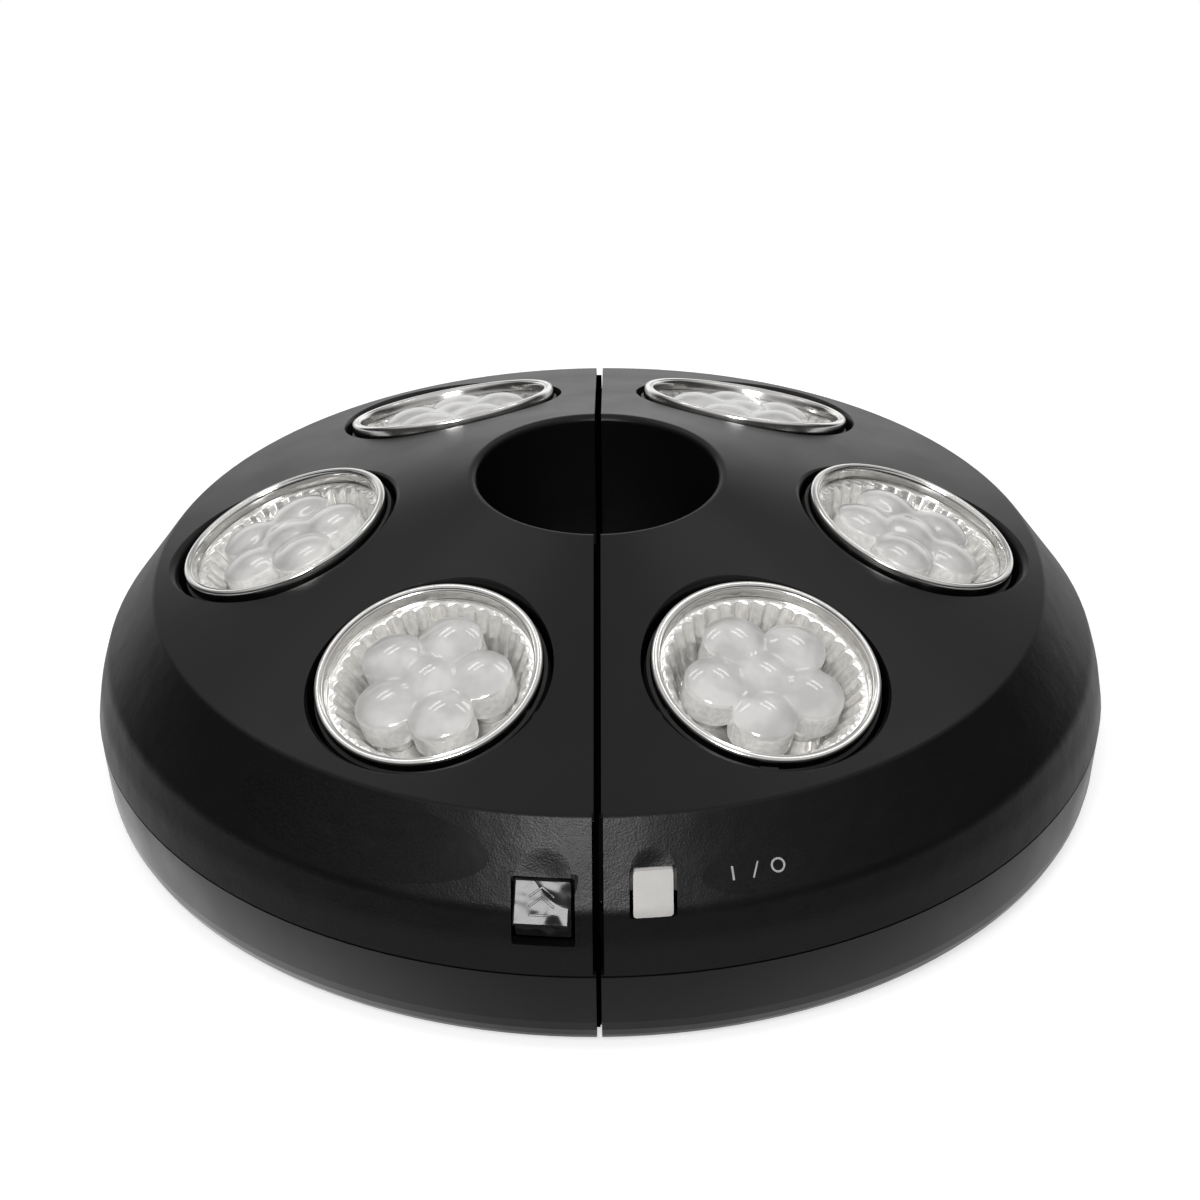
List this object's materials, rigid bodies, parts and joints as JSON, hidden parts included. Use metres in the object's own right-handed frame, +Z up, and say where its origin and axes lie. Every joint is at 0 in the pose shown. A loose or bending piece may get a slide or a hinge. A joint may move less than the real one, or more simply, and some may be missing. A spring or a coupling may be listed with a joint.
{
  "type": "patio umbrella light",
  "caption": "Round battery light that clamps on an umbrella pole: two hinged half casings with swivelling LED lamp heads.",
  "frame": {"origin": "on the flat base's plane, in the middle of the pole hole", "axes": "+Z up the pole hole towards the lamps, -Y towards the buttons and the seam's opening end, +X towards the half with the on/off button"},
  "size_m": [0.24, 0.2399, 0.0772],
  "materials": {
    "casing": "satin black with a fine spark-eroded grain",
    "base_casing": "satin black with a fine grain",
    "inner_plastic": "satin black",
    "hinge_steel": "drawn wire",
    "spring_steel": "bright spring steel",
    "screw_steel": "zinc plated",
    "contact_metal": "nickel plated",
    "pad_rubber": "matt",
    "bezel_chrome": "polished chrome plating",
    "reflector": "bright vacuum-metallised flutes",
    "clear_lens": "clear moulding with frosted domes",
    "led_board": "white solder mask",
    "diode": "yellow phosphor",
    "unlock_button": "polished black",
    "power_button": "satin white",
    "switch_body": "matt black",
    "circuit_board": "green solder mask",
    "cell_jacket": "plain grey sleeve"
  },
  "bodies": {
    "left_half": {"left_upper_shell": "casing", "left_base_shell": "base_casing", "hinge_pin": "hinge_steel", "catch_spring": "spring_steel", "left_jaw_spring": "spring_steel", "left_cells": "cell_jacket", "left_contacts": "contact_metal", "left_shell_screws": "screw_steel"},
    "right_half": {"right_upper_shell": "casing", "right_base_shell": "base_casing", "push_switch": "switch_body", "control_board": "circuit_board", "right_jaw_spring": "spring_steel", "right_cells": "cell_jacket", "right_contacts": "contact_metal", "right_shell_screws": "screw_steel"},
    "lamp_right_front": {"housing_right_front": "inner_plastic", "bezel_right_front": "bezel_chrome", "lens_right_front": "clear_lens", "reflector_right_front": "reflector", "led_board_right_front": "led_board", "leds_right_front": "diode"},
    "lamp_right_middle": {"housing_right_middle": "inner_plastic", "bezel_right_middle": "bezel_chrome", "lens_right_middle": "clear_lens", "reflector_right_middle": "reflector", "led_board_right_middle": "led_board", "leds_right_middle": "diode"},
    "lamp_right_back": {"housing_right_back": "inner_plastic", "bezel_right_back": "bezel_chrome", "lens_right_back": "clear_lens", "reflector_right_back": "reflector", "led_board_right_back": "led_board", "leds_right_back": "diode"},
    "lamp_left_front": {"housing_left_front": "inner_plastic", "bezel_left_front": "bezel_chrome", "lens_left_front": "clear_lens", "reflector_left_front": "reflector", "led_board_left_front": "led_board", "leds_left_front": "diode"},
    "lamp_left_middle": {"housing_left_middle": "inner_plastic", "bezel_left_middle": "bezel_chrome", "lens_left_middle": "clear_lens", "reflector_left_middle": "reflector", "led_board_left_middle": "led_board", "leds_left_middle": "diode"},
    "lamp_left_back": {"housing_left_back": "inner_plastic", "bezel_left_back": "bezel_chrome", "lens_left_back": "clear_lens", "reflector_left_back": "reflector", "led_board_left_back": "led_board", "leds_left_back": "diode"},
    "left_jaw": {"left_jaw": "inner_plastic", "left_pad": "pad_rubber"},
    "right_jaw": {"right_jaw": "inner_plastic", "right_pad": "pad_rubber"},
    "unlock_button": {"unlock_button": "unlock_button"},
    "power_button": {"power_button": "power_button"},
    "left_battery_door": {"left_battery_door": "base_casing"},
    "right_battery_door": {"right_battery_door": "base_casing"}
  },
  "joints": [
    {"name": "body_hinge", "type": "hinge", "parent": "left_half", "child": "right_half", "pos_m": [0, 0.1155, 0.0219], "axis": [0, 0, 1], "range_deg": [0, 75], "deforming": ["catch_spring"]},
    {"name": "tilt_right_front", "type": "hinge", "parent": "right_half", "child": "lamp_right_front", "pos_m": [0.03612, -0.06257, 0.05768], "axis": [0.866, 0.5, 0], "range_deg": [-35, 35]},
    {"name": "tilt_right_middle", "type": "hinge", "parent": "right_half", "child": "lamp_right_middle", "pos_m": [0.07225, 0, 0.05768], "axis": [0, 1, 0], "range_deg": [-35, 35]},
    {"name": "tilt_right_back", "type": "hinge", "parent": "right_half", "child": "lamp_right_back", "pos_m": [0.03612, 0.06257, 0.05768], "axis": [-0.866, 0.5, 0], "range_deg": [-35, 35]},
    {"name": "tilt_left_front", "type": "hinge", "parent": "left_half", "child": "lamp_left_front", "pos_m": [-0.03612, -0.06257, 0.05768], "axis": [0.866, -0.5, 0], "range_deg": [-35, 35]},
    {"name": "tilt_left_middle", "type": "hinge", "parent": "left_half", "child": "lamp_left_middle", "pos_m": [-0.07225, 0, 0.05768], "axis": [0, -1, 0], "range_deg": [-35, 35]},
    {"name": "tilt_left_back", "type": "hinge", "parent": "left_half", "child": "lamp_left_back", "pos_m": [-0.03612, 0.06257, 0.05768], "axis": [-0.866, -0.5, 0], "range_deg": [-35, 35]},
    {"name": "unlock_press", "type": "slide", "parent": "left_half", "child": "unlock_button", "axis": [0, 1, 0], "range_m": [0, 0.0025], "stiffness_N_per_m": 900, "springref_m": -0.0008, "deforming": ["catch_spring"]},
    {"name": "power_press", "type": "slide", "parent": "right_half", "child": "power_button", "axis": [0, 1, 0], "range_m": [0, 0.0015], "stiffness_N_per_m": 900, "springref_m": -0.001},
    {"name": "left_jaw_slide", "type": "slide", "parent": "left_half", "child": "left_jaw", "axis": [-1, 0, 0], "range_m": [0, 0.005], "stiffness_N_per_m": 500, "springref_m": -0.006, "deforming": ["left_jaw_spring"]},
    {"name": "right_jaw_slide", "type": "slide", "parent": "right_half", "child": "right_jaw", "axis": [1, 0, 0], "range_m": [0, 0.005], "stiffness_N_per_m": 500, "springref_m": -0.006, "deforming": ["right_jaw_spring"]},
    {"name": "left_door_lift", "type": "slide", "parent": "left_half", "child": "left_battery_door", "axis": [0, 0, -1], "range_m": [0, 0.02]},
    {"name": "right_door_lift", "type": "slide", "parent": "right_half", "child": "right_battery_door", "axis": [0, 0, -1], "range_m": [0, 0.02]}
  ]
}
